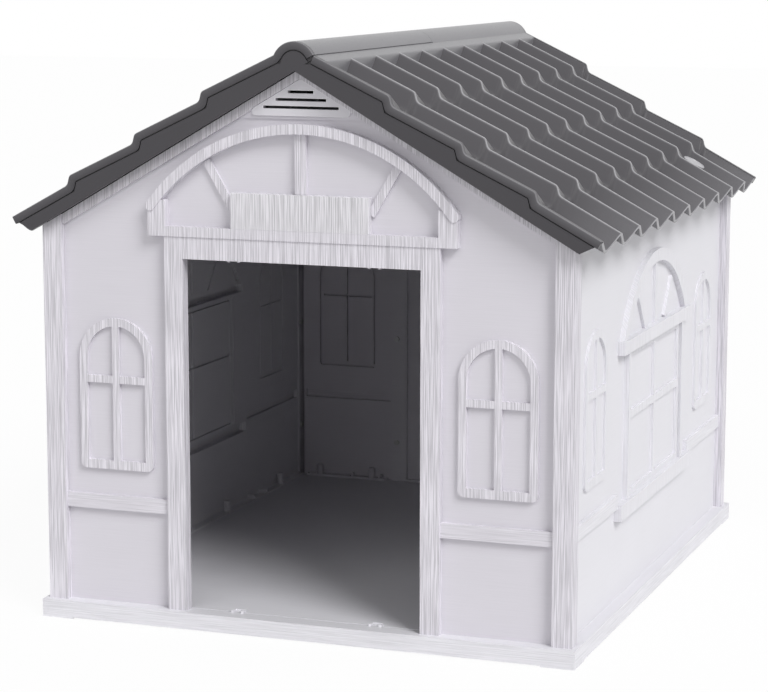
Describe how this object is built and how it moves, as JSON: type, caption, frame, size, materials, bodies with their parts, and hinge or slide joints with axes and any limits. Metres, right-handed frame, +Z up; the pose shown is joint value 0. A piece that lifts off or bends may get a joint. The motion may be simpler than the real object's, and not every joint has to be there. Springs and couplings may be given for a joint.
{
  "type": "dog house",
  "caption": "Plastic kennel with a gabled tile roof that lifts off, an arched pediment over an open doorway and moulded window relief.",
  "frame": {"origin": "middle of the footprint on the ground", "axes": "+X to the right across the doorway, -Y out of the doorway, +Z up"},
  "size_m": [0.746, 0.848, 0.722],
  "materials": {
    "wall_plastic": "moulded wood grain, satin",
    "roof_plastic": "moulded, satin",
    "plaque_plastic": "smooth satin",
    "screw_steel": "zinc plated"
  },
  "bodies": {
    "house": {"base_floor": "wall_plastic", "front_wall": "wall_plastic", "rear_wall": "wall_plastic", "right_side_wall": "wall_plastic", "left_side_wall": "wall_plastic", "rear_doorway_infill": "wall_plastic", "front_name_plate": "wall_plastic", "rear_name_plate": "wall_plastic", "front_gable_vent": "wall_plastic", "rear_gable_vent": "wall_plastic", "corner_screws_front_right": "screw_steel", "corner_screws_front_left": "screw_steel", "corner_screws_rear_right": "screw_steel", "corner_screws_rear_left": "screw_steel", "floor_screws_front": "screw_steel", "floor_screws_rear": "screw_steel", "floor_screws_right": "screw_steel", "floor_screws_left": "screw_steel", "infill_screws": "screw_steel"},
    "roof": {"roof_panel_right": "roof_plastic", "roof_panel_left": "roof_plastic", "roof_plaque_right": "plaque_plastic", "roof_plaque_left": "plaque_plastic", "ridge_screws_front": "screw_steel", "ridge_screws_rear": "screw_steel"}
  },
  "joints": [
    {"name": "roof_lift", "type": "slide", "parent": "house", "child": "roof", "axis": [0, 0, 1], "range_m": [0, 0.25]}
  ]
}
